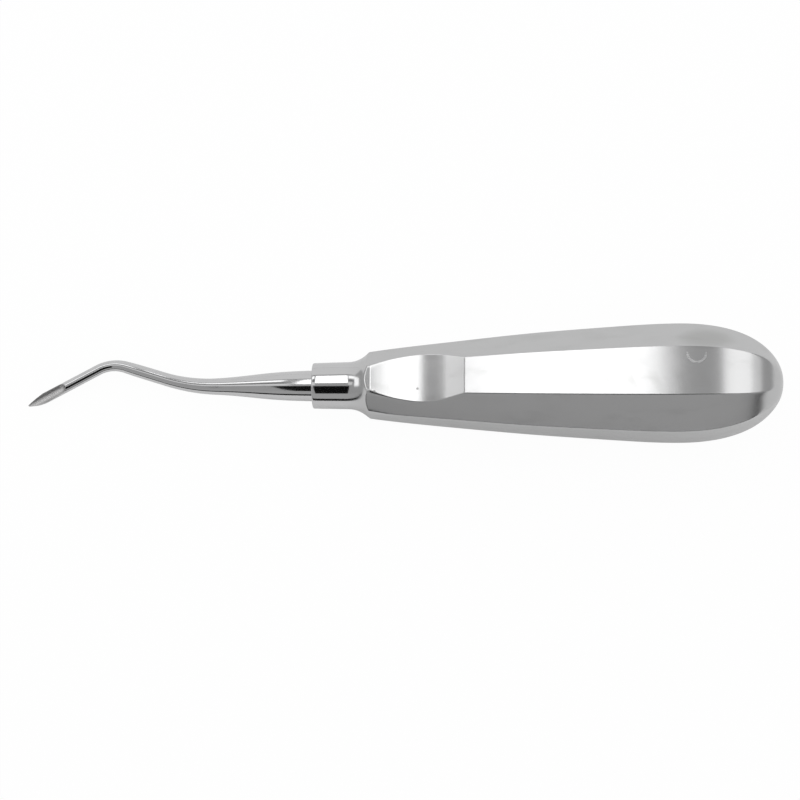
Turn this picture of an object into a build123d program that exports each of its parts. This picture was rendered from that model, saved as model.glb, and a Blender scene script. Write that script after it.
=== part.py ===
from build123d import *
import os
from math import atan2, cos, degrees, radians, sin, sqrt, tan

# Dental elevator: a bent shank with a gouge blade, brazed into a hollow pear
# handle that is ground to eight flats. Millimetres, +Z up.
# The pieces are drawn about the handle's own axis, with X = 0 on the front
# face of the collar, +X to the butt, -X to the tip and the thumb scoop on +Z.
# The last step turns both together onto the flat they rest on.

# Collar and flare, turned.
COLLAR_RADIUS = 4.73
COLLAR_BACK_RADIUS = 4.90
COLLAR_LENGTH = 7.3
COLLAR_EDGE = 0.3
FLARE_RADIUS = 5.8
FLARE_ANGLE = 50.0

# Pear body: half width across its flats at places from the neck to the belly.
SWELL = (
    (11.0, 6.33),
    (28.0, 8.19),
    (46.0, 9.87),
    (61.0, 10.87),
    (76.0, 11.49),
)
NECK_SLOPE = 0.14
CLOSE_X = 97.8
CLOSE_PULL = 18.75
CLOSE_BLUNT = 2.3

# The diagonal flats stand a little further out and run fuller to the butt.
DIAGONAL_RATIO = 1.021
DIAGONAL_CLOSE_X = 97.6
DIAGONAL_CLOSE_PULL = 19.4
DIAGONAL_CLOSE_BLUNT = 3.0

# Turned dome that closes the butt, from where it starts to its pole.
DOME_X = SWELL[-1][0]
BUTT_X = 97.4
DOME_RADIUS = 13.5
DOME_PULL = 10.0
DOME_BLUNT = 8.5

# Thumb scoop, measured up from the axis.
SCOOP_X = 20.8
SCOOP_FLOOR = 5.98
SCOOP_FRONT_RADIUS = 65.0
SCOOP_REAR_RADIUS = 22.5
SCOOP_REAR_ANGLE = 19.5

# Stretch in which the three lower facets are dead flat.
REST_START_X = 28.0
REST_END_X = 70.0

# Hollow, with the metal that closes it at the butt.
WALL = 1.2
HOLLOW_X = 14.0
BUTT_WALL = 1.8

# Tang and its bore.
TANG_RADIUS = 2.3
TANG_LENGTH = 13.0
TANG_CHAMFER = 0.4
BRAZE_GAP = 0.03

# Shank: its radius against the distance from the shoulder, up to the rod.
SHOULDER_RADIUS = 3.2
SHOULDER_EDGE = 0.2
TAPER = (
    (6.4, 2.95),
    (10.2, 2.64),
    (13.5, 2.28),
    (18.0, 1.86),
    (25.0, 1.53),
    (31.0, 1.36),
    (38.5, 1.29),
    (43.0, 1.12),
)
ROD_RADIUS = 1.1

# Corners of the shank's path, in the plane of the two bends.
BEND_X = -25.75
CROWN_X = -42.4
CROWN_Y = 5.26
TIP_X = -59.6
TIP_Y = -4.05
BEND_RADIUS = 36.0
CROWN_RADIUS = 7.6

# Gouge blade.
GOUGE_LENGTH = 8.7
GOUGE_RADIUS = 1.4
GOUGE_START_FLOOR = 0.10
GOUGE_TIP_FLOOR = -0.45
POINT_LENGTH = 5.8
POINT_MARGIN = 0.02
POINT_END = 0.14
POINT_OFFSET = 0.3
BEVEL_LENGTH = 4.0
BEVEL_DEPTH = 0.45


def pear_curve(diagonal, shrink):
    """Outline of one pair of flats from the neck to the butt, as two curves."""
    ratio = DIAGONAL_RATIO if diagonal else 1.0
    end = (DIAGONAL_CLOSE_X if diagonal else CLOSE_X) - shrink
    pull = DIAGONAL_CLOSE_PULL if diagonal else CLOSE_PULL
    blunt = DIAGONAL_CLOSE_BLUNT if diagonal else CLOSE_BLUNT
    points = [(x, ratio * half - shrink) for x, half in SWELL]
    belly = points[-1]
    swell = Spline(points, tangents=[(1, ratio * NECK_SLOPE), (1, 0)])
    close = Bezier(belly, (belly[0] + pull, belly[1]), (end, blunt), (end, 0))
    return swell, close


def flat_pair(angle, shrink):
    """Body between two opposite flats, turned about the axis by an angle."""
    swell, close = pear_curve(angle % 90 != 0, shrink)
    front = swell @ 0
    upper = [Line((-1, front.Y), front), swell, close]
    lower = [edge.mirror(Plane.XZ) for edge in upper]
    nose = Line((-1, -front.Y), (-1, front.Y))
    outline = make_face(Wire(upper + lower + [nose]))
    return Rot(angle, 0, 0) * extrude(outline, DOME_RADIUS + 2, both=True)


def turned_blank():
    """Collar, flare and dome as turned before the flats are ground."""
    face = Line((0, 0), (0, COLLAR_RADIUS - COLLAR_EDGE))
    edge = Line(face @ 1, (COLLAR_EDGE, COLLAR_RADIUS))
    side = Line(edge @ 1, (COLLAR_LENGTH, COLLAR_BACK_RADIUS))
    flare_end = (
        COLLAR_LENGTH + FLARE_RADIUS * sin(radians(FLARE_ANGLE)),
        COLLAR_BACK_RADIUS + FLARE_RADIUS * (1 - cos(radians(FLARE_ANGLE))),
    )
    flare = TangentArc(side @ 1, flare_end, tangent=(1, 0))
    run = (DOME_RADIUS - flare_end[1]) / tan(radians(FLARE_ANGLE))
    shoulder = Line(flare @ 1, (flare_end[0] + run, DOME_RADIUS))
    top = Line(shoulder @ 1, (DOME_X, DOME_RADIUS))
    dome = Bezier(top @ 1, (DOME_X + DOME_PULL, DOME_RADIUS), (BUTT_X, DOME_BLUNT), (BUTT_X, 0))
    axis = Line((BUTT_X, 0), (0, 0))
    return revolve(make_face(Wire([face, edge, side, flare, shoulder, top, dome, axis])), Axis.X)


def hollow_blank():
    """Block that reaches from the front of the hollow to the metal at the butt."""
    length = BUTT_X - BUTT_WALL - HOLLOW_X
    width = 2 * DOME_RADIUS
    return Pos(HOLLOW_X + length / 2, 0, 0) * Box(length, width, width)


def scoop_cut(drop):
    """Metal above the scoop's floor, which the cut lowers by the drop."""
    rear = radians(SCOOP_REAR_ANGLE)
    floor = Vector(SCOOP_X, SCOOP_FLOOR - drop)
    top = 2 * DOME_RADIUS
    nose_z = floor.Y + SCOOP_X**2 / (2 * SCOOP_FRONT_RADIUS)
    rise = floor + Vector(SCOOP_REAR_RADIUS * sin(rear), SCOOP_REAR_RADIUS * (1 - cos(rear)))
    out = rise + Vector(cos(rear), sin(rear)) * DOME_RADIUS
    edges = [
        TangentArc(floor, (0, nose_z), tangent=(-1, 0)),
        TangentArc(floor, rise, tangent=(1, 0)),
        Line(rise, out),
        Line(out, (out.X, top)),
        Line((out.X, top), (0, top)),
        Line((0, top), (0, nose_z)),
    ]
    return extrude(Plane.XZ * make_face(Wire(edges)), 2 * DOME_RADIUS, both=True)


def chord(diagonal):
    """Centre of the flat stretch of a facet, and its slope to the axis."""
    swell, _ = pear_curve(diagonal, 0)
    ends = []
    for x in (REST_START_X, REST_END_X):
        upright = Line((x, 0), (x, 2 * DOME_RADIUS))
        ends.append(Vector(x, swell.intersect(upright).vertices()[0].Y))
    rise = ends[1] - ends[0]
    return (ends[0] + ends[1]) * 0.5, degrees(atan2(rise.Y, rise.X))


rest_centre, rest_angle = chord(False)


def flat_cut(angle, lift):
    """Metal outside the flat stretch of one lower facet, raised by the lift."""
    centre, slope = chord(angle % 90 != 0)
    slab = Box(
        3 * BUTT_X, 4 * DOME_RADIUS, DOME_RADIUS, align=(Align.CENTER, Align.CENTER, Align.MAX)
    )
    return Rot(angle, 0, 0) * Pos(centre.X, 0, lift - centre.Y) * Rot(0, slope, 0) * slab


def ground(blank, shrink):
    """The blank with its eight facets, its scoop and its three dead flat stretches."""
    body = blank
    for angle in (0, 45, 90, 135):
        body = body & flat_pair(angle, shrink)
    body = body - scoop_cut(shrink)
    for angle in (-45, 0, 45):
        body = body - flat_cut(angle, shrink)
    return body


def handle():
    """Hollow pear handle with its collar, bored for the tang."""
    shell = ground(turned_blank(), 0) - ground(hollow_blank(), WALL)
    bore = Cylinder(
        TANG_RADIUS + BRAZE_GAP,
        HOLLOW_X + 1,
        rotation=(0, 90, 0),
        align=(Align.CENTER, Align.CENTER, Align.MIN),
    )
    return shell - bore


# Corners of the shank's path, from the collar to the tip.
root = Vector(BEND_X, 0)
crown = Vector(CROWN_X, CROWN_Y)
tip = Vector(TIP_X, TIP_Y)


def shank_path():
    """Centre line from the shoulder to the tip, with its two bends."""
    legs = Wire(Polyline((0, 0), root, crown, tip).edges())
    at_root = legs.vertices().sort_by_distance(root)[0]
    bent = legs.fillet_2d(BEND_RADIUS, [at_root])
    at_crown = bent.vertices().sort_by_distance(crown)[0]
    return bent.fillet_2d(CROWN_RADIUS, [at_crown])


def ring(path, distance, radius):
    """Circle of the shank square to its path."""
    share = distance / path.length
    plane = Plane(path @ share, x_dir=(0, 0, 1), z_dir=path % share)
    return plane * Wire(Circle(radius).edge())


def shank():
    """Tapered bent part from the shoulder to the start of the straight rod."""
    path = shank_path()
    turn = atan2(crown.Y - root.Y, root.X - crown.X) + atan2(crown.Y - tip.Y, crown.X - tip.X)
    leg = (crown - tip).length - CROWN_RADIUS * tan(turn / 2)
    stations = ((0.0, SHOULDER_RADIUS),) + TAPER + ((path.length - leg, ROD_RADIUS),)
    body = Solid.make_loft([ring(path, distance, radius) for distance, radius in stations])
    rim = body.edges().filter_by_position(Axis.X, -0.01, 0.01)
    return chamfer(rim, SHOULDER_EDGE), leg


def gouge_cutter():
    """Ball ended cutter that hollows the blade, with the tip at the origin."""
    depth = GOUGE_RADIUS + GOUGE_START_FLOOR
    reach = sqrt(GOUGE_RADIUS**2 - (depth - ROD_RADIUS) ** 2)
    start = GOUGE_LENGTH - reach
    slope = degrees(atan2(GOUGE_START_FLOOR - GOUGE_TIP_FLOOR, start))
    ball = Sphere(GOUGE_RADIUS)
    bar = Cylinder(
        GOUGE_RADIUS,
        start + POINT_LENGTH,
        rotation=(0, -90, 0),
        align=(Align.CENTER, Align.CENTER, Align.MIN),
    )
    return Pos(start, 0, depth) * Rot(0, -slope, 0) * (ball + bar)


def point_outline():
    """Plan of the blade's pointed end, drawn with the tip's place at X = 0."""
    half = ROD_RADIUS + POINT_MARGIN
    corner = (POINT_END / 2, POINT_OFFSET + POINT_END)
    other_corner = (POINT_END / 2, POINT_OFFSET - POINT_END)
    edges = [
        TangentArc((POINT_LENGTH, half), corner, tangent=(-1, 0)),
        ThreePointArc(corner, (0, POINT_OFFSET), other_corner),
        TangentArc((POINT_LENGTH, -half), other_corner, tangent=(-1, 0)),
        Line((POINT_LENGTH, -half), (POINT_LENGTH, half)),
    ]
    return make_face(Wire(edges))


def blade(leg):
    """Straight rod with the gouge, drawn along +X from the tip."""
    rod = Cylinder(ROD_RADIUS, leg, rotation=(0, 90, 0), align=(Align.CENTER, Align.CENTER, Align.MIN))
    around = 4 * ROD_RADIUS
    front = Box(POINT_LENGTH, around, around, align=(Align.MIN, Align.CENTER, Align.CENTER))
    point = extrude(point_outline(), around, both=True)
    rod = rod - (front - point) - gouge_cutter()
    slope = degrees(atan2(BEVEL_DEPTH, BEVEL_LENGTH))
    wedge = Box(leg, around, around, align=(Align.CENTER, Align.CENTER, Align.MAX))
    return rod - Pos(BEVEL_LENGTH, 0, -ROD_RADIUS) * Rot(0, slope, 0) * wedge


def working_end():
    """Tang, tapered shank and gouge blade, forged in one."""
    body, leg = shank()
    place = Plane(tip, x_dir=crown - tip, z_dir=(0, 0, 1))
    tang = Cylinder(
        TANG_RADIUS, TANG_LENGTH, rotation=(0, 90, 0), align=(Align.CENTER, Align.CENTER, Align.MIN)
    )
    tang = chamfer(tang.edges().filter_by(GeomType.CIRCLE).sort_by(Axis.X)[-1], TANG_CHAMFER)
    return body + place.location * blade(leg) + tang


def build():
    """Turns both pieces onto the resting flat and writes them."""
    parts = {"handle": handle(), "working_end": working_end()}
    turn = Rot(0, -rest_angle, 0) * Pos(-rest_centre.X, 0, rest_centre.Y)
    os.makedirs("parts", exist_ok=True)
    for name, piece in parts.items():
        piece = turn * piece
        print(name, piece.is_valid, len(piece.solids()), round(piece.volume), piece.bounding_box())
        export_step(piece, "parts/" + name + ".step")


build()
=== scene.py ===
import bpy
import numpy as np
from mathutils import Matrix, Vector
from mathutils.bvhtree import BVHTree


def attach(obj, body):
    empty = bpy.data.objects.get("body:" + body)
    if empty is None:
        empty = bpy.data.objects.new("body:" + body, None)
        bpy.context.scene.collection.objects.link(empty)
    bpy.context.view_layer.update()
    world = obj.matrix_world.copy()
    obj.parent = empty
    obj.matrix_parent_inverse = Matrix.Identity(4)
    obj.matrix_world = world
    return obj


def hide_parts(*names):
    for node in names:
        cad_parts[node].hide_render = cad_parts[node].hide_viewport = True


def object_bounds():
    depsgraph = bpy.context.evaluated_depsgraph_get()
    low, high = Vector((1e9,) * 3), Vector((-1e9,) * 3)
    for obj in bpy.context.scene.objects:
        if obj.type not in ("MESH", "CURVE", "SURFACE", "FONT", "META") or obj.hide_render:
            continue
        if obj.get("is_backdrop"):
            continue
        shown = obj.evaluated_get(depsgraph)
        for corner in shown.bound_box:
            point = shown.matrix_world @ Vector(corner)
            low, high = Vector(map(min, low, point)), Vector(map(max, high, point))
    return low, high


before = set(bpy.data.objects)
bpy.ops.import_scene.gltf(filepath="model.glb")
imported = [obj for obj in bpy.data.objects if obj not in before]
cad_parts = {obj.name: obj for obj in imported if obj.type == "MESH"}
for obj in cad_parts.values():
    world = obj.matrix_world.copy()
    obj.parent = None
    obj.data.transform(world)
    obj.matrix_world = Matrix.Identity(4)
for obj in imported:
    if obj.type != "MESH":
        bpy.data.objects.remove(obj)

# %% [markdown]
# # Dental elevator
# A dental elevator loosens a tooth root before it is drawn. The object is made
# of two pieces of stainless steel: a hollow pear shaped handle that fills the
# palm, and a forged working end that is brazed into the handle's collar.
# This lesson draws both as numpy surfaces with plain formulas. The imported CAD
# part gives the size, the place and the parts that the surfaces stand for.

# %% Start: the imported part's own size

size_start = [list(corner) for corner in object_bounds()]
print("packed part, lowest and highest corner in mm:",
      [[round(1000 * value, 2) for value in corner] for corner in size_start])

# %% [markdown]
# ## Shared sizes
# The handle is drawn about its own axis, in millimetres: X = 0 on the front
# face of the collar, +X to the butt, -X to the tip, +Z through the facet with
# the thumb scoop. The real handle lies on its bottom facet, which slopes to
# the axis because the pear swells, so the axis rises a little to the butt.
# A clamped cubic spline through five half widths gives the pear's outline.
# Fewer points than that would miss the straight cone in front of the belly.

# %% Sizes in millimetres

MM = 0.001

BELLY_X = 76.0
SWELL_X = np.array([11.0, 28.0, 46.0, 61.0, BELLY_X])
SWELL_HALF = np.array([6.33, 8.19, 9.87, 10.87, 11.49])
NECK_SLOPE = 0.14
DIAGONAL_RATIO = 1.021
# Where a facet's outline would close on the axis, how far the belly pulls its
# curve back, and how blunt the curve is at its end.
MAIN_CLOSE = (97.8, 18.75, 2.3)
DIAGONAL_CLOSE = (97.6, 19.4, 3.0)
REST_X = (28.0, 70.0)
BUTT_X = 97.4

# The drawn shank and the pole of the butt stay this far inside the packed
# solids, so that rounding never puts them outside.
SKIN = 0.005
BLANK_RADIUS = 13.5
DOME_PULL = 10.0
DOME_BLUNT = 8.5

COLLAR_RADIUS = 4.73
COLLAR_BACK_RADIUS = 4.90
COLLAR_LENGTH = 7.3
COLLAR_EDGE = 0.3
FLARE_RADIUS = 5.8
FLARE_ANGLE = np.radians(50.0)

BORE_RADIUS = 2.33
BORE_DEPTH = 14.0
TANG_RADIUS = 2.3
TANG_LENGTH = 13.0
TANG_CHAMFER = 0.4
SHOULDER_RADIUS = 3.19
SHOULDER_EDGE = 0.2
SHOULDER_GAP = 0.01


def clamped_spline(x, y, first, last):
    """Cubic pieces through the points, with given slopes at both ends.

    The inner slopes m solve, for steps h and rises r = dy / h,
    h1 m0 + 2 (h0 + h1) m1 + h0 m2 = 3 (h1 r0 + h0 r1).
    """
    h = np.diff(x)
    r = np.diff(y) / h
    n = len(x)
    a = np.zeros((n, n))
    b = np.zeros(n)
    a[0, 0] = a[-1, -1] = 1.0
    b[0], b[-1] = first, last
    for i in range(1, n - 1):
        a[i, i - 1:i + 2] = h[i], 2 * (h[i - 1] + h[i]), h[i - 1]
        b[i] = 3 * (h[i] * r[i - 1] + h[i - 1] * r[i])
    return np.linalg.solve(a, b)


def spline_value(x, knots, values, slopes):
    """Hermite form of the pieces: value at each x, held level past the ends."""
    x = np.clip(x, knots[0], knots[-1])
    i = np.clip(np.searchsorted(knots, x) - 1, 0, len(knots) - 2)
    h = knots[i + 1] - knots[i]
    t = (x - knots[i]) / h
    return ((1 + 2 * t) * (1 - t) ** 2 * values[i] + t * (1 - t) ** 2 * h * slopes[i]
            + t ** 2 * (3 - 2 * t) * values[i + 1] + t ** 2 * (t - 1) * h * slopes[i + 1])


def bezier_height(x, p0, p1, p2, p3):
    """Height of a cubic Bezier curve over x, read off a fine polyline of it."""
    t = np.linspace(0, 1, 2001)[:, None]
    points = np.array([p0, p1, p2, p3], float)
    weights = np.hstack([(1 - t) ** 3, 3 * (1 - t) ** 2 * t, 3 * (1 - t) * t ** 2, t ** 3])
    curve = weights @ points
    return np.interp(x, curve[:, 0], curve[:, 1])


SWELL_SLOPES = clamped_spline(SWELL_X, SWELL_HALF, NECK_SLOPE, 0.0)


def pear_half(x, diagonal=False):
    """Half width across a pair of facets: spline to the belly, Bezier to the butt."""
    ratio = DIAGONAL_RATIO if diagonal else 1.0
    belly = ratio * SWELL_HALF[-1]
    end, pull, blunt = DIAGONAL_CLOSE if diagonal else MAIN_CLOSE
    front = ratio * spline_value(x, SWELL_X, SWELL_HALF, SWELL_SLOPES)
    back = bezier_height(x, (BELLY_X, belly), (BELLY_X + pull, belly), (end, blunt), (end, 0))
    return np.where(x <= BELLY_X, front, back)


rest_half = pear_half(np.array(REST_X))
rest_slope = (rest_half[1] - rest_half[0]) / (REST_X[1] - REST_X[0])
rest_angle = np.arctan(rest_slope)
rest_centre = np.array([np.mean(REST_X), 0.0, -rest_half.mean()])


def to_row(points):
    """Handle frame in mm to the row's frame in m: move the resting flat's centre
    to the origin, then turn about Y by the flat's slope."""
    p = np.asarray(points, float) - rest_centre
    c, s = np.cos(rest_angle), np.sin(rest_angle)
    return np.stack([p[..., 0] * c - p[..., 2] * s, p[..., 1],
                     p[..., 0] * s + p[..., 2] * c], axis=-1) * MM


print(f"axis rises {np.degrees(rest_angle):.2f} degrees to the butt, widest across flats"
      f" {2 * SWELL_HALF[-1]:.2f} mm")

# %% [markdown]
# ## Handle
# The real handle is turned first, then ground. The turned blank gives the
# collar, the flare and the dome at the butt. Eight facets are ground along it,
# and a thumb scoop is ground across the top one. A surface that stands for
# grinding is the nearest of several limits, so each point is found by the
# largest of the plane distances, blended over a tenth of a millimetre: that
# blend is the softened edge that polishing leaves. Modelling it as one grid
# keeps every edge watertight, and the rows crowd where the shape is tight.

# %% Grid builder


def grid_object(name, rows, material):
    """Mesh from rows of points that close round, with a fan at each end.

    rows has shape (stations, around, 3), in metres. Stations run towards +X and
    the points of a row from +Z to +Y, so each face's normal points outward. The
    fans meet in the middle of the first and the last row.
    """
    m, n, _ = rows.shape
    first = rows[0].mean(0)
    last = rows[-1].mean(0)
    co = np.vstack([rows.reshape(-1, 3), first, last])
    i, j = np.meshgrid(np.arange(m - 1), np.arange(n), indexing="ij")
    k = (j + 1) % n
    quads = np.stack([i * n + j, (i + 1) * n + j, (i + 1) * n + k, i * n + k], -1).reshape(-1, 4)
    ring = np.arange(n)
    after = (ring + 1) % n
    fan_a = np.stack([np.full(n, m * n), ring, after], -1)
    fan_b = np.stack([np.full(n, m * n + 1), (m - 1) * n + after, (m - 1) * n + ring], -1)
    mesh = bpy.data.meshes.new(name)
    mesh.vertices.add(len(co))
    mesh.vertices.foreach_set("co", co.astype(np.float32).ravel())
    loops = np.concatenate([quads.ravel(), fan_a.ravel(), fan_b.ravel()])
    counts = np.concatenate([np.full(len(quads), 4), np.full(2 * n, 3)])
    starts = np.concatenate([[0], np.cumsum(counts)[:-1]])
    mesh.loops.add(len(loops))
    mesh.loops.foreach_set("vertex_index", loops.astype(np.int32))
    mesh.polygons.add(len(counts))
    mesh.polygons.foreach_set("loop_start", starts.astype(np.int32))
    mesh.polygons.foreach_set("loop_total", counts.astype(np.int32))
    mesh.update(calc_edges=True)
    mesh.validate()
    mesh.shade_smooth()
    mesh.materials.append(material)
    piece = bpy.data.objects.new(name, mesh)
    bpy.context.scene.collection.objects.link(piece)
    triangles = int((counts - 2).sum())
    print(f"{name}: {len(co)} points, {triangles} triangles")
    return piece


def add_attribute(piece, name, rows_value):
    """Point attribute with one value a grid point, and the mean for the fans."""
    flat = np.asarray(rows_value, np.float32)
    values = np.concatenate([flat.ravel(), [flat[0].mean(), flat[-1].mean()]])
    layer = piece.data.attributes.new(name, "FLOAT", "POINT")
    layer.data.foreach_set("value", values.astype(np.float32))


def smooth_max(a, b, width):
    """Larger of a and b, rounded by a parabola where they differ by under width."""
    h = np.maximum(width - np.abs(a - b), 0) / width
    return np.maximum(a, b) + h * h * width / 4


# %% Outlines of the turned blank, the scoop and the dead flat stretch


def blank_radius(x):
    """Turned blank: cone of the collar, concave arc of the flare, steep shoulder
    that the facets cut away, and the dome's Bezier curve to the pole."""
    end_x = COLLAR_LENGTH + FLARE_RADIUS * np.sin(FLARE_ANGLE)
    end_r = COLLAR_BACK_RADIUS + FLARE_RADIUS * (1 - np.cos(FLARE_ANGLE))
    collar = COLLAR_RADIUS + (COLLAR_BACK_RADIUS - COLLAR_RADIUS) * x / COLLAR_LENGTH
    inner = np.clip(x - COLLAR_LENGTH, 0, FLARE_RADIUS * np.sin(FLARE_ANGLE))
    flare = COLLAR_BACK_RADIUS + FLARE_RADIUS - np.sqrt(FLARE_RADIUS ** 2 - inner ** 2)
    shoulder = np.minimum(end_r + (x - end_x) * np.tan(FLARE_ANGLE), BLANK_RADIUS)
    pole = BUTT_X - SKIN
    dome = bezier_height(x, (BELLY_X, BLANK_RADIUS), (BELLY_X + DOME_PULL, BLANK_RADIUS),
                         (pole, DOME_BLUNT), (pole, 0))
    radius = np.where(x < COLLAR_LENGTH, collar, np.where(x < end_x, flare, shoulder))
    return np.where(x > BELLY_X, dome, radius)


SCOOP_X = 20.8
SCOOP_FLOOR = 5.98
SCOOP_FRONT = 65.0
SCOOP_REAR = 22.5
SCOOP_REAR_ANGLE = np.radians(19.5)
SCOOP_REACH = 40.0


def scoop_height(x):
    """Floor of the thumb scoop: a long arc falls from the nose to the floor, a
    tighter one rises behind it, and a straight ramp runs out of the facet."""
    end = SCOOP_REAR * np.sin(SCOOP_REAR_ANGLE)
    fall = SCOOP_FRONT - np.sqrt(SCOOP_FRONT ** 2 - np.clip(x - SCOOP_X, -SCOOP_REACH, 0) ** 2)
    rise = SCOOP_REAR - np.sqrt(SCOOP_REAR ** 2 - np.clip(x - SCOOP_X, 0, end) ** 2)
    ramp = np.maximum(x - SCOOP_X - end, 0) * np.tan(SCOOP_REAR_ANGLE)
    return SCOOP_FLOOR + fall + rise + ramp


def flat_stretch(x, diagonal):
    """Chord of a facet's outline between the ends of its dead flat stretch."""
    ends = pear_half(np.array(REST_X), diagonal)
    return ends[0] + (x - REST_X[0]) * (ends[1] - ends[0]) / (REST_X[1] - REST_X[0])


SCOOP_BLEND = 0.035
WAVE = 0.004


def facet_halves(x):
    """Distance of the eight facets from the axis at each station, top one first
    and then towards +Y, with the scoop in the top one and the three dead flat
    stretches below. Hand grinding leaves each facet slightly wavy along it."""
    main, diagonal = pear_half(x), pear_half(x, True)
    halves = np.stack([diagonal if i % 2 else main for i in range(8)], 1)
    halves[:, 0] = -smooth_max(-main, -scoop_height(x), SCOOP_BLEND)
    for i in (3, 4, 5):
        halves[:, i] = np.minimum(halves[:, i], flat_stretch(x, bool(i % 2)))
    ease = np.clip((x - 12) / 8, 0, 1) * np.clip((96 - x) / 10, 0, 1)
    for i in (0, 1, 2, 6, 7):
        wave = np.sin(x / 3.1 + 1.7 * i) + np.sin(x / 5.3 + 2.9 * i) + np.sin(x / 9.7 + i)
        halves[:, i] -= WAVE * ease * (3 + wave) / 3
    return halves


ramp_x = np.linspace(25, 40, 3001)
arris = ramp_x[np.argmax(scoop_height(ramp_x) > pear_half(ramp_x))]
print(f"scoop floor {SCOOP_FLOOR} mm above the axis, rear arris {arris:.1f} mm from the collar's face")

# %% [markdown]
# The rows of the grid start at the bottom of the bore for the tang, come out
# round the collar's rounded front edge, and run over the flare, the facets and
# the dome to the pole. Round each row the points crowd at the eight corners,
# which move with the facets, so the arrises stay crisp from neck to butt.

# %% Handle surface

CORNER_SHARE = np.array([0, 0.005, 0.011, 0.019, 0.032, 0.06, 0.12, 0.22, 0.35, 0.5])
SHARE = np.concatenate([CORNER_SHARE, 1 - CORNER_SHARE[8:0:-1]])
EDGE_BLEND = 0.10
NOSE_BLEND = 0.35
NOSE_END = 17.5
NOSE_LENGTH = 5.0
ROUNDS = 12
FLARE_BLEND = 0.22


def row_angles(halves):
    """Angles from +Z towards +Y of the points in each row: facet i lies round
    45 i degrees, and its corner with the next is at atan(sqrt2 b' / b - 1)."""
    following = np.roll(halves, -1, axis=1)
    corner = np.arange(8) * np.pi / 4 + np.arctan(np.sqrt(2) * following / halves - 1)
    previous = np.roll(corner, 1, axis=1)
    previous[:, 0] -= 2 * np.pi
    angles = previous[:, :, None] + (corner - previous)[:, :, None] * SHARE
    return angles.reshape(len(halves), -1)


def ground_radius(x, angles, halves):
    """Radius r that makes the largest of r cos(angle - 45 i) - half i and
    r - blank equal to nothing, where the larger is blended at the edges. Each
    round takes what is left over off the radius. The scoop's own edges are
    polished rounder towards its nose."""
    facet = np.arange(8) * np.pi / 4
    lean = np.cos(angles[:, :, None] - facet)
    blank = blank_radius(x)[:, None]
    nearness = np.clip((NOSE_END - x) / NOSE_LENGTH, 0, 1)
    nose = EDGE_BLEND + NOSE_BLEND * nearness[:, None] ** 1.5
    reach = np.where(lean > 0.1, halves[:, None, :] / np.maximum(lean, 0.1), 99.0)
    r = np.minimum(reach.min(2), blank)
    for _ in range(ROUNDS):
        limit = r * lean[:, :, 0] - halves[:, None, 0]
        for i in range(1, 8):
            soft = nose if i in (1, 7) else EDGE_BLEND
            limit = smooth_max(limit, r * lean[:, :, i] - halves[:, None, i], soft)
        r = np.maximum(r - smooth_max(limit, r - blank, FLARE_BLEND), 0.01)
    return r


def handle_rows():
    """Rows of points over the whole handle, with the x of each row. The rows lie
    closest at the flare's edge, the scoop's rear arris and the pole."""
    body_x = np.concatenate([
        np.linspace(0.3, 7.2, 10), np.linspace(7.4, 10.6, 18), np.linspace(10.7, 13.2, 64),
        np.linspace(13.5, 30.4, 60), np.linspace(30.55, 33.6, 46), np.linspace(34, 66, 58),
        np.linspace(66.6, 90, 70), np.linspace(90.2, 95.0, 34),
        BUTT_X - np.linspace(np.sqrt(2.3), 0.12, 36) ** 2,
    ])
    halves = facet_halves(body_x)
    angles = row_angles(halves)
    r = ground_radius(body_x, angles, halves)
    turn = np.linspace(0, np.pi / 2, 7)[:-1]
    edge_x = COLLAR_EDGE * (1 - np.cos(turn))
    edge_r = COLLAR_RADIUS - COLLAR_EDGE * (1 - np.sin(turn))
    front_x = np.concatenate([[BORE_DEPTH, 7.0, 0.1, 0.0, 0.0], edge_x])
    front_r = np.concatenate([[BORE_RADIUS] * 3 + [BORE_RADIUS + 0.05, 3.4], edge_r])
    x = np.concatenate([front_x, body_x])
    n = angles.shape[1]
    r = np.vstack([np.repeat(front_r[:, None], n, 1), r])
    angles = np.vstack([np.repeat(angles[:1], len(front_x), 0), angles])
    along = np.repeat(x[:, None], n, 1)
    return np.stack([along, r * np.sin(angles), r * np.cos(angles)], -1), x


# %% [markdown]
# ## Working end
# The tang, the taper, the two bends and the gouge are forged and ground from
# one bar. The centre line is built from headings: straight runs and arcs whose
# heading changes evenly, and its points are the running sum of short steps.
# That keeps the path exact for any bend. The bar's radius follows a spline.
# At the tip the round bar is cut from above by a ball ended gouge and to a
# pointed plan from the sides, so each section is a lower and an upper curve
# over the same width, and the points crowd at the gouge's lips.

# %% Centre line of the shank

ROOT = np.array([-25.75, 0.0])
CROWN = np.array([-42.4, 5.26])
TIP = np.array([-59.585, -4.05])
ROOT_RADIUS = 36.0
CROWN_RADIUS = 7.6

TAPER_S = np.array([0.0, 6.4, 10.2, 13.5, 18.0, 25.0, 31.0, 38.5, 43.0, 46.0])
BAR_RADIUS = 1.1
TAPER_R = np.array([3.2, 2.95, 2.64, 2.28, 1.86, 1.53, 1.36, 1.29, 1.12, BAR_RADIUS])
ROOT_SLOPE = -0.025
TAPER_SLOPES = clamped_spline(TAPER_S, TAPER_R, ROOT_SLOPE, 0.0)

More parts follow.
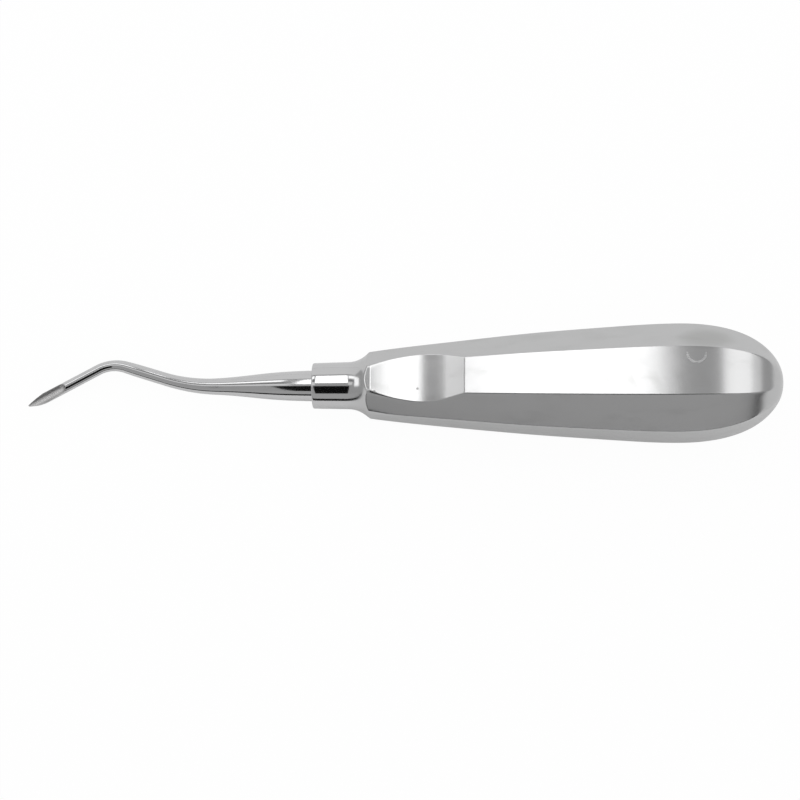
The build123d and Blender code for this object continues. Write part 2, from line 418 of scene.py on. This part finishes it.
first_turn = np.arctan2(CROWN[1], ROOT[0] - CROWN[0])
leg_slope = np.arctan2(CROWN[1] - TIP[1], CROWN[0] - TIP[0])
second_turn = first_turn + leg_slope
cut_1 = ROOT_RADIUS * np.tan(first_turn / 2)
cut_2 = CROWN_RADIUS * np.tan(second_turn / 2)
RUNS = np.array([
    -ROOT[0] - cut_1,
    ROOT_RADIUS * first_turn,
    np.linalg.norm(CROWN - ROOT) - cut_1 - cut_2,
    CROWN_RADIUS * second_turn,
    np.linalg.norm(TIP - CROWN) - cut_2,
])
HEADINGS = np.pi + np.array([0, 0, -first_turn, -first_turn, leg_slope, leg_slope])
LEG = RUNS[-1]
PATH_LENGTH = RUNS.sum()


def centre_line(s):
    """Point and heading at each distance from the shoulder towards the tip."""
    ends = np.concatenate([[0], np.cumsum(RUNS)])
    fine = np.linspace(0, PATH_LENGTH, 20001)
    heading = np.interp(fine, ends, HEADINGS)
    middle = (heading[1:] + heading[:-1]) / 2
    step = fine[1] - fine[0]
    px = np.concatenate([[0], np.cumsum(np.cos(middle) * step)])
    py = np.concatenate([[0], np.cumsum(np.sin(middle) * step)])
    return np.interp(s, fine, px), np.interp(s, fine, py), np.interp(s, ends, HEADINGS)


print(f"centre line {PATH_LENGTH:.2f} mm from the shoulder to the tip, straight leg {LEG:.2f} mm")

# %% Sections of the blade

GOUGE_LENGTH = 8.7
GOUGE_RADIUS = 1.4
GOUGE_START_FLOOR = 0.10
GOUGE_TIP_FLOOR = -0.45
POINT_LENGTH = 5.8
POINT_HALF = 1.12
POINT_END = 0.14
POINT_OFFSET = 0.3
BEVEL_LENGTH = 4.0
BEVEL_DEPTH = 0.45
FAR_ABOVE = 9.0
LIP_FADE = 0.4
LIP_RANGE = (0.02, 1.40)


print(f"gouge {GOUGE_LENGTH} mm long with a radius of {GOUGE_RADIUS} mm,"
      f" point {POINT_LENGTH} mm long")


def plan_sides(u, radius):
    """Both sides of the plan at distance u from the tip: arcs that leave the bar
    along it and meet a small nose set off to one side."""
    sides = []
    for sign in (-1, 1):
        near = POINT_OFFSET + sign * POINT_END
        drop = POINT_HALF - sign * near
        run = POINT_LENGTH - POINT_END / 2
        arc = (run ** 2 + drop ** 2) / (2 * drop)
        back = np.clip(POINT_LENGTH - u, 0, POINT_LENGTH)
        side = sign * (POINT_HALF - arc + np.sqrt(arc ** 2 - back ** 2))
        share = np.clip(u / (POINT_END / 2), 0, 1)
        nose = POINT_OFFSET + sign * POINT_END * np.sqrt(np.clip(share * (2 - share), 0.02, 1))
        side = np.where(u < POINT_END / 2, nose, side)
        side = np.where(u > POINT_LENGTH, sign * radius, side)
        sides.append(np.minimum(side, radius) if sign > 0 else np.maximum(side, -radius))
    return sides


def gouge_floor(u, v):
    """Height of the cutter's surface: a tilted bar of radius R, w = axis -
    sqrt(R^2 - v^2), that ends in a ball. Where it doesn't cut, it is far above."""
    centre = GOUGE_RADIUS + GOUGE_START_FLOOR
    start = GOUGE_LENGTH - np.sqrt(GOUGE_RADIUS ** 2 - (centre - BAR_RADIUS) ** 2)
    slope = (GOUGE_START_FLOOR - GOUGE_TIP_FLOOR) / start
    axis = centre - slope * np.maximum(start - u, 0)
    past = np.maximum(u - start, 0)
    inside = GOUGE_RADIUS ** 2 - v ** 2 - past ** 2
    return np.where(inside > 0, axis - np.sqrt(np.maximum(inside, 0)), FAR_ABOVE)


def lip_angle(u, radius, low, high, sign):
    """Angle from the side at which the gouge first lies under the round bar. The
    points go back to an eighth of a turn just behind the gouge."""
    test = np.linspace(0.0, np.pi / 2, 241)
    middle, half = (low + high) / 2, (high - low) / 2
    v = middle[:, None] + sign * half[:, None] * np.cos(test)
    bar = np.sqrt(np.maximum(radius[:, None] ** 2 - v ** 2, 0))
    cut = gouge_floor(u[:, None], v) < bar
    found = np.where(cut.any(1), test[np.argmax(cut, axis=1)], np.pi / 2)
    relax = np.clip((u - GOUGE_LENGTH) / LIP_FADE, 0, 1)
    return np.clip(found, *LIP_RANGE) * (1 - relax) + np.pi / 4 * relax


def working_rows():
    """Rows over the blade, the bends, the taper, the shoulder and the tang, with
    the share of each point that the gouge cut."""
    u = np.concatenate([
        np.array([0.022, 0.035, 0.05, 0.07]), np.linspace(0.12, 7.6, 66),
        np.linspace(7.66, 8.78, 48), np.linspace(8.95, LEG, 22),
        LEG + np.linspace(0.2, RUNS[3] + 0.4, 34),
        np.linspace(LEG + RUNS[3] + 0.9, PATH_LENGTH - 0.25, 84),
    ])
    s = PATH_LENGTH - u
    radius = spline_value(s, TAPER_S, TAPER_R, TAPER_SLOPES) - SKIN
    radius = np.where(u < LEG, BAR_RADIUS - SKIN, radius)
    px, py, heading = centre_line(s)
    low, high = plan_sides(u, radius)
    right = lip_angle(u, radius, low, high, 1)
    left = np.pi - lip_angle(u, radius, low, high, -1)
    rim = np.linspace(0, 1, 10)
    floor = np.linspace(0, 1, 35)[1:-1]
    upper = np.hstack([
        np.pi + (left - np.pi)[:, None] * rim,
        left[:, None] + (right - left)[:, None] * floor,
        right[:, None] * rim[::-1],
    ])
    lower = np.repeat(-np.linspace(0.03, np.pi - 0.03, 46)[None, :], len(u), 0)
    alpha = np.hstack([upper, lower])
    v = ((low + high) / 2)[:, None] + ((high - low) / 2)[:, None] * np.cos(alpha)
    bar = np.sqrt(np.maximum(radius[:, None] ** 2 - v ** 2, 0))
    cut = gouge_floor(u[:, None], v)
    bevel = -radius[:, None] + BEVEL_DEPTH * np.clip(1 - u / BEVEL_LENGTH, 0, 1)[:, None]
    top = np.minimum(bar, cut)
    w = np.where(alpha >= 0, top, np.maximum(-bar, bevel))
    gouged = ((alpha >= 0) & (cut < bar + 1e-6)).astype(float)
    side_x, side_y = np.sin(heading), -np.cos(heading)
    rows = np.stack([px[:, None] + v * side_x[:, None], py[:, None] + v * side_y[:, None], w], -1)
    turn = np.linspace(0, np.pi / 2, 6)
    end_x = np.concatenate([
        -SHOULDER_GAP - SHOULDER_EDGE * (1 - np.sin(turn)),
        [-SHOULDER_GAP, 0.0, TANG_LENGTH - TANG_CHAMFER, TANG_LENGTH],
    ])
    end_r = np.concatenate([
        SHOULDER_RADIUS - SHOULDER_EDGE * (1 - np.cos(turn)),
        [BORE_RADIUS + 0.03, TANG_RADIUS, TANG_RADIUS, TANG_RADIUS - TANG_CHAMFER],
    ])
    last = alpha[-1]
    tail = np.stack([
        np.repeat(end_x[:, None], len(last), 1),
        end_r[:, None] * np.cos(last),
        end_r[:, None] * np.sin(last),
    ], -1)
    gouged = np.vstack([gouged, np.zeros((len(end_x), len(last)))])
    return np.vstack([rows, tail]), gouged


# %% [markdown]
# ## Steel
# Both pieces are bare stainless steel, so nearly all of the look is what they
# mirror. The handle's facets are ground and polished to a fine satin, the
# collar and the shank are buffed bright, and the gouge is left matt with a fine
# grain. The patterns are numbers in the handle's own millimetres, so a streak
# or a pit stays on its place when a light or a view changes. Plain arithmetic
# on a small class makes the Math nodes, which keeps the recipes readable.

# %% Node arithmetic


def add_node(tree, kind, settings, sockets):
    """New node: its settings come first, then its sockets, called by name or by
    number, get plain values or links."""
    node = tree.nodes.new(kind)
    for name, value in settings.items():
        setattr(node, name, value)
    for key, value in sockets.items():
        if isinstance(value, Field):
            value = value.socket
        if isinstance(value, bpy.types.NodeSocket):
            tree.links.new(value, node.inputs[key])
        else:
            node.inputs[key].default_value = value
    return node


class Field:
    """A number that varies over a surface; arithmetic on it adds Math nodes."""

    def __init__(self, tree, socket):
        self.tree = tree
        self.socket = socket

    def math(self, operation, *others):
        """Math node on this number and the others."""
        node = add_node(self.tree, "ShaderNodeMath", {"operation": operation},
                        dict(enumerate((self,) + others)))
        return Field(self.tree, node.outputs[0])

    def __add__(self, other):
        return self.math("ADD", other)

    def __sub__(self, other):
        return self.math("SUBTRACT", other)

    def __mul__(self, other):
        return self.math("MULTIPLY", other)

    def __truediv__(self, other):
        return self.math("DIVIDE", other)

    def __rsub__(self, other):
        return self * -1 + other

    __radd__ = __add__
    __rmul__ = __mul__

    def rise(self, low, high):
        """0 below low and 1 above high, with the smooth step 3 t^2 - 2 t^3 between."""
        node = add_node(
            self.tree, "ShaderNodeMapRange", {"interpolation_type": "SMOOTHSTEP"},
            {"Value": self, "From Min": min(low, high), "From Max": max(low, high)},
        )
        up = Field(self.tree, node.outputs["Result"])
        return up if high > low else 1 - up

    def band(self, middle, half):
        """1 in the middle of a stripe, falling smoothly to 0 at its sides."""
        return (self - middle).math("ABSOLUTE").rise(half, 0)


class Steel:
    """Principled metal whose patterns are set in the handle's millimetres."""

    def __init__(self, name):
        self.material = bpy.data.materials.new(name)
        self.material.use_nodes = True
        self.tree = self.material.node_tree
        self.shader = self.tree.nodes["Principled BSDF"]
        self.shader.inputs["Metallic"].default_value = 1.0
        where = self.add("ShaderNodeTexCoord").outputs["Object"]
        turn = self.add("ShaderNodeMapping", Vector=where, Scale=(1000, 1000, 1000),
                        Rotation=(0, rest_angle, 0), Location=tuple(rest_centre))
        self.place = turn.outputs[0]
        split = self.add("ShaderNodeSeparateXYZ", Vector=self.place)
        self.x, self.y, self.z = [Field(self.tree, out) for out in split.outputs]

    def add(self, kind, settings=None, **sockets):
        """Node in this material, with its sockets given by name."""
        return add_node(self.tree, kind, settings or {}, sockets)

    def noise(self, stretch, detail=2.0, roughness=0.5, shift=0.0):
        """Noise whose features are about as long as stretch, in millimetres."""
        scale = tuple(1.0 / length for length in stretch)
        place = self.add("ShaderNodeMapping", Vector=self.place, Scale=scale,
                         Location=(shift, shift * 1.7, shift * 0.6))
        node = self.add("ShaderNodeTexNoise", Vector=place.outputs[0], Scale=1.0,
                        Detail=detail, Roughness=roughness)
        return Field(self.tree, node.outputs[0])

    def attribute(self, name):
        """Value that the mesh carries for each of its points."""
        node = self.add("ShaderNodeAttribute", {"attribute_name": name})
        return Field(self.tree, node.outputs["Fac"])

    def spot(self, x, y, across, down=None):
        """1 at a place on the side seen from above, 0 outside an ellipse round it."""
        dx = (self.x - x) / across
        dy = (self.y - y) / (down or across)
        return (dx * dx + dy * dy).rise(1, 0) * self.z.rise(2, 4)

    def finish(self, colour, dark, share, roughness, height):
        """Connect colour mixed towards dark by share, roughness, and bump height
        in millimetres."""
        mix = add_node(self.tree, "ShaderNodeMix", {"data_type": "RGBA"},
                       {"Factor": share, 6: (*colour, 1), 7: (*dark, 1)})
        self.tree.links.new(mix.outputs[2], self.shader.inputs["Base Color"])
        self.tree.links.new(roughness.socket, self.shader.inputs["Roughness"])
        bump = self.add("ShaderNodeBump", Strength=1.0, Distance=MM, Height=height)
        self.tree.links.new(bump.outputs[0], self.shader.inputs["Normal"])
        print(f"{self.material.name}: {len(self.tree.nodes)} nodes")
        return self.material


# %% Handle steel

CLEAN_STEEL = (0.60, 0.60, 0.605)
# Darker steel that the smears, strokes, pits and the painted dark reflection near the butt mix
# towards.
SMEARED_AND_SHADED_STEEL = (0.40, 0.402, 0.395)
GROUND_STEEL = (0.42, 0.415, 0.41)
# Patch painted darker on the upper diagonal facet near the butt, a painted dark reflection: x, y,
# across and down in mm.
DARK_REFLECTION_PATCH = (81.5, 7.2, 7.0, 3.2)
PITS = ((22.2, -2.2, 0.35), (13.3, -2.8, 0.35))
SCRATCH_PLACE = (79.6, 3.6)
SCRATCH_RADIUS = 1.9


def handle_steel():
    """Satin facets, buffed collar, cross ground scoop, smears, pits and a curved
    scratch on the top facet, and a patch of painted dark reflection on the upper
    diagonal facet near the butt."""
    m = Steel("handle_steel")
    collar = m.attribute("polish")
    scoop = m.attribute("scoop")
    satin = 1 - collar
    top = m.z.rise(5.0, 6.5) * m.y.band(0, 6.5)
    smear = m.noise((9, 3.5, 3.5), 3, 0.6, 3.0)
    streaks = m.noise((0.30, 12, 12), 2, 0.6, 8.0)
    grain = m.noise((1.6, 0.12, 0.12), 2, 0.6, 1.0)
    ripple = m.noise((5, 4, 4), 1, 0.4, 5.0)
    slant = m.x * 1.25 + m.y * 0.5 + smear * 3.0
    strokes = slant.math("SINE").rise(-0.2, 1.0) * m.y.rise(1.0, -2.5) * m.x.band(62, 26)
    # Painted dark reflection: the patch near the butt is painted darker.
    painted_reflection = m.spot(*DARK_REFLECTION_PATCH)
    pits = m.spot(*PITS[0]) + m.spot(*PITS[1])
    away_x, away_y = m.x - SCRATCH_PLACE[0], m.y - SCRATCH_PLACE[1]
    arc = (away_x * away_x + away_y * away_y).math("SQRT").band(SCRATCH_RADIUS, 0.35)
    scratch = arc * m.y.rise(4.2, 3.0) * m.z.rise(5, 7) * grain.rise(0.35, 0.55)
    roughness = (0.08 + satin * (0.10 + 0.06 * smear + scoop * 0.03 * streaks)
                 + scratch * 0.25 + pits * 0.2)
    # Besides the smears, strokes, streaks and pits, the share paints the patch near the butt darker as
    # a painted dark reflection.
    share = 0.04 + satin * (0.20 + smear.rise(0.5, 0.8) * 0.16 + strokes * top * 0.45
                            + painted_reflection * 0.50 + scoop * streaks.rise(0.58, 0.75) * 0.12
                            + pits * 0.8 - scratch * 0.2)
    height = (ripple * 0.004 + grain * 0.0003 + scoop * streaks * 0.0010) * satin
    return m.finish(CLEAN_STEEL, SMEARED_AND_SHADED_STEEL, share, roughness, height)


# %% Working end steel


def shank_steel():
    """Bright shank with faint lengthwise polish, matt grain where the gouge cut."""
    m = Steel("shank_steel")
    gouged = m.attribute("gouged")
    smear = m.noise((4, 1.5, 1.5), 3, 0.6, 2.0)
    grain = m.noise((0.16, 0.16, 0.16), 3, 0.7, 6.0)
    roughness = 0.06 + 0.05 * smear + gouged * 0.32
    share = smear.rise(0.55, 0.85) * 0.3 + gouged * (0.3 + grain.rise(0.4, 0.65) * 0.5)
    height = gouged * grain * 0.02 + smear * 0.0006
    return m.finish(CLEAN_STEEL, GROUND_STEEL, share, roughness, height)


# %% [markdown]
# ## Both pieces
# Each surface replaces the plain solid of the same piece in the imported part.
# Two numbers travel with the handle's points, how far the buffing reaches and
# where the scoop is, and one with the working end's, where the gouge cut.

# %% Make the handle

POLISH_FADE = (6.8, 10.8)
SCOOP_ENDS = (11.6, 32.4)
SCOOP_SIDE = np.radians(30.0)

rows, row_x = handle_rows()
handle = grid_object("handle_shell", to_row(rows), handle_steel())
faded = (row_x - POLISH_FADE[0]) / (POLISH_FADE[1] - POLISH_FADE[0])
polish = 1 - np.clip(faded, 0, 1)
add_attribute(handle, "polish", np.repeat(polish[:, None], rows.shape[1], 1))
around = np.abs(np.arctan2(rows[..., 1], rows[..., 2]))
between = (row_x > SCOOP_ENDS[0]) & (row_x < SCOOP_ENDS[1])
add_attribute(handle, "scoop", (around < SCOOP_SIDE) & between[:, None])
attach(handle, "root")
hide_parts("handle")

# %% Make the working end

rows, gouged = working_rows()
shank = grid_object("working_end_steel", to_row(rows), shank_steel())
add_attribute(shank, "gouged", gouged)
shank.data.set_sharp_from_angle(angle=np.radians(35))
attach(shank, "root")
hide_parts("working_end")

# %% [markdown]
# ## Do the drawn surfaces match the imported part?
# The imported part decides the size, so the drawn surfaces have to lie on it. The
# nearest point on each solid tells how far off they are. The largest value is
# at the edges, which the drawing rounds and the solids leave sharp.

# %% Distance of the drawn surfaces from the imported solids


def largest_distance(piece, node):
    """Largest distance in mm from the drawn points to the solid's own surface."""
    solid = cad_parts[node].data
    tree = BVHTree.FromPolygons([v.co for v in solid.vertices],
                                [list(p.vertices) for p in solid.polygons])
    every_seventh = list(piece.data.vertices)[::7]
    return max(tree.find_nearest(v.co)[3] for v in every_seventh) / MM


for piece, node in ((handle, "handle"), (shank, "working_end")):
    print(f"{piece.name}: at most {largest_distance(piece, node):.3f} mm off the solid")

# %% [markdown]
# ## Studio
# The photograph was taken on a white sweep under one large softbox, with a
# second light to the right and dark gaps between them. Bare steel shows those
# panels as its bright and dark bands, so their places matter more than their
# power. Each panel is a lamp of known radiance, and places are in millimetres in
# the row's own frame. A black card stands for the camera and its stand above
# the object, and the other cards for the dark gaps and the wall in front.

# %% Camera at the photograph's angle

IMAGE_SIZE = 800
ELEVATION = np.radians(76.48)
ROLL = np.radians(-0.62)
MM_PER_PIXEL = 0.206855
CENTRE_PIXEL = (552.335, 395.244)
CAMERA_DISTANCE = 800.0
TARGET_HEIGHT = 10.0
SENSOR_WIDTH = 36.0

up_tilt = np.array([0, np.sin(ELEVATION), np.cos(ELEVATION)])
axis_back = np.array([0, -np.cos(ELEVATION), np.sin(ELEVATION)])
axis_right = np.cos(ROLL) * np.array([1, 0, 0]) - np.sin(ROLL) * up_tilt
axis_up = np.sin(ROLL) * np.array([1, 0, 0]) + np.cos(ROLL) * up_tilt
middle = IMAGE_SIZE / 2
offset = np.array([middle - CENTRE_PIXEL[0], CENTRE_PIXEL[1] - middle]) * MM_PER_PIXEL
in_plane = offset[0] * axis_right + offset[1] * axis_up
target = in_plane + axis_back * (TARGET_HEIGHT - in_plane[2]) / axis_back[2]

camera_data = bpy.data.cameras.new("camera")
camera_data.sensor_width = SENSOR_WIDTH
camera_data.lens = SENSOR_WIDTH * CAMERA_DISTANCE / (IMAGE_SIZE * MM_PER_PIXEL)
camera_data.clip_start = 0.01
camera = bpy.data.objects.new("camera", camera_data)
camera_place = (target + CAMERA_DISTANCE * axis_back) * MM
columns = np.column_stack([axis_right, axis_up, axis_back, camera_place])
camera.matrix_world = Matrix([*columns.tolist(), [0, 0, 0, 1]])
bpy.context.scene.collection.objects.link(camera)
bpy.context.scene.camera = camera
print("camera lens", round(camera_data.lens, 1), "mm, at", np.round(camera_place / MM), "mm")

# %% Lamp and card makers

DOWN = (0, 0, -1)
TO_FRONT = (0, -1, 0)
TO_BACK = (0, 1, 0)


def facing(place, direction):
    """Matrix that puts an object at a place with its -Z axis along a direction."""
    back = -np.array(direction, float)
    side = np.cross([0, 1, 0] if abs(back[2]) > 0.8 else [0, 0, 1], back)
    side /= np.linalg.norm(side)
    matrix = np.eye(4)
    matrix[:3, 0], matrix[:3, 1], matrix[:3, 2] = side, np.cross(back, side), back
    matrix[:3, 3] = np.array(place) * MM
    return Matrix(matrix.tolist())


def add_lamp(name, place, direction, size, radiance):
    """Rectangular lamp of a given radiance: power = pi x radiance x area."""
    lamp = bpy.data.lights.new(name, "AREA")
    lamp.shape = "RECTANGLE"
    lamp.size, lamp.size_y = size[0] * MM, size[1] * MM
    lamp.energy = np.pi * radiance * lamp.size * lamp.size_y
    lamp_object = bpy.data.objects.new(name, lamp)
    lamp_object.matrix_world = facing(place, direction)
    bpy.context.scene.collection.objects.link(lamp_object)


def add_card(name, place, direction, size, material):
    """Flat card that only polished steel sees: not the camera, nor soft light."""
    mesh = bpy.data.meshes.new(name)
    a, b = size[0] * MM / 2, size[1] * MM / 2
    mesh.from_pydata([(-a, -b, 0), (a, -b, 0), (a, b, 0), (-a, b, 0)], [], [(0, 3, 2, 1)])
    mesh.materials.append(material)
    card = bpy.data.objects.new(name, mesh)
    card.matrix_world = facing(place, direction)
    bpy.context.scene.collection.objects.link(card)
    card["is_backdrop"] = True
    card.visible_camera = False
    card.visible_diffuse = False
    card.visible_shadow = False


def flat_colour(name, colour, strength=0.0):
    """Matt card material, that also glows white by the given strength."""
    material = bpy.data.materials.new(name)
    material.use_nodes = True
    shader = material.node_tree.nodes["Principled BSDF"]
    shader.inputs["Base Color"].default_value = (*colour, 1)
    shader.inputs["Roughness"].default_value = 1.0
    shader.inputs["Specular IOR Level"].default_value = 0.0
    shader.inputs["Emission Color"].default_value = (1, 1, 1, 1)
    shader.inputs["Emission Strength"].default_value = strength
    return material


# %% Lamps and cards

LAMPS = (
    ("softbox", (-71, 112, 300), DOWN, (112, 219), 1.85),
    ("second_light", (255, 60, 300), DOWN, (230, 300), 1.1),
    ("third_light", (560, 60, 330), DOWN, (330, 300), 0.55),
    ("left_light", (-480, 60, 300), DOWN, (320, 300), 1.2),
    ("back_light", (-20, 420, 230), TO_FRONT, (1100, 440), 0.40),
    ("shank_light", (-265, 168, 300), DOWN, (230, 95), 1.3),
    ("shank_fill", (-190, -10, 300), DOWN, (110, 80), 0.45),
)
for name, place, direction, size, radiance in LAMPS:
    add_lamp(name, place, direction, size, radiance)

black = flat_colour("black_card", (0.01, 0.01, 0.01))
front = flat_colour("front_wall", (0.02, 0.02, 0.02), 0.47)
dim = flat_colour("dim_card", (0.02, 0.02, 0.02), 0.25)
CARDS = (
    ("camera_card", (25, -240, 300), DOWN, (380, 330), black),
    ("gap_card", (-225, 60, 299), DOWN, (170, 60), dim),
    ("front_wall", (0, -480, 160), TO_BACK, (1500, 330), front),
    ("table_edge", (0, -110, 12), TO_BACK, (600, 24), black),
)
for name, place, direction, size, material in CARDS:
    add_card(name, place, direction, size, material)
print(f"{len(LAMPS)} lamps and {len(CARDS)} cards")

# %% [markdown]
# ## Floor and world
# A white sweep is white whatever the lamps do, so the floor is mostly a plain
# white glow for the camera. Polished steel sees it darker, as it would see a
# sheet of paper in a dim room. The rest of it is matt paint, which takes the
# soft shadow. The world fills the sides that no lamp reaches.

# %% Floor and world

SEEN_WHITE = 0.97
MIRRORED_WHITE = 0.15
PAINT = (0.72, 0.72, 0.72)
SKY_LOSS = 0.43
FLOOR_SIZE = 6.0


def floor_material():
    """White to the camera and grey to reflections; its matt part keeps the shadow."""
    material = bpy.data.materials.new("floor")
    material.use_nodes = True
    tree = material.node_tree
    tree.nodes.clear()
    path = add_node(tree, "ShaderNodeLightPath", {}, {})
    camera_ray = Field(tree, path.outputs["Is Camera Ray"])
    glossy_ray = Field(tree, path.outputs["Is Glossy Ray"])
    clear_ray = Field(tree, path.outputs["Is Transmission Ray"])
    glow = add_node(tree, "ShaderNodeEmission", {}, {"Strength": 1.0})
    paint = add_node(tree, "ShaderNodeBsdfDiffuse", {}, {"Color": (*PAINT, 1)})
    share = camera_ray * SEEN_WHITE + (glossy_ray + clear_ray) * MIRRORED_WHITE
    mix = add_node(tree, "ShaderNodeMixShader", {},
                   {0: share, 1: paint.outputs[0], 2: glow.outputs[0]})
    add_node(tree, "ShaderNodeOutputMaterial", {}, {"Surface": mix.outputs[0]})
    return material


floor_mesh = bpy.data.meshes.new("floor")
half = FLOOR_SIZE / 2
corners = [(-half, -half, 0), (half, -half, 0), (half, half, 0), (-half, half, 0)]
floor_mesh.from_pydata(corners, [], [(0, 1, 2, 3)])
floor_mesh.materials.append(floor_material())
floor = bpy.data.objects.new("floor", floor_mesh)
bpy.context.scene.collection.objects.link(floor)
floor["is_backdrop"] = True

world = bpy.data.worlds.new("world")
bpy.context.scene.world = world
world.use_nodes = True
tree = world.node_tree
tree.nodes.clear()
path = add_node(tree, "ShaderNodeLightPath", {}, {})
glossy_ray = Field(tree, path.outputs["Is Glossy Ray"])
sky = add_node(tree, "ShaderNodeBackground", {}, {"Strength": 1 - glossy_ray * SKY_LOSS})
add_node(tree, "ShaderNodeOutputWorld", {}, {"Surface": sky.outputs[0]})
print(f"floor {FLOOR_SIZE} m across, world at 1, and at {1 - SKY_LOSS:.2f} in reflections")

bpy.context.scene.view_settings.view_transform = "Standard"

# %% End: the visual model's own size

size_end = [list(corner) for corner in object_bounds()]
for side, a, b in zip(("lowest", "highest"), size_start, size_end):
    print(side, "corner, packed part then drawn part, mm:",
          [round(v / MM, 3) for v in a], [round(v / MM, 3) for v in b])
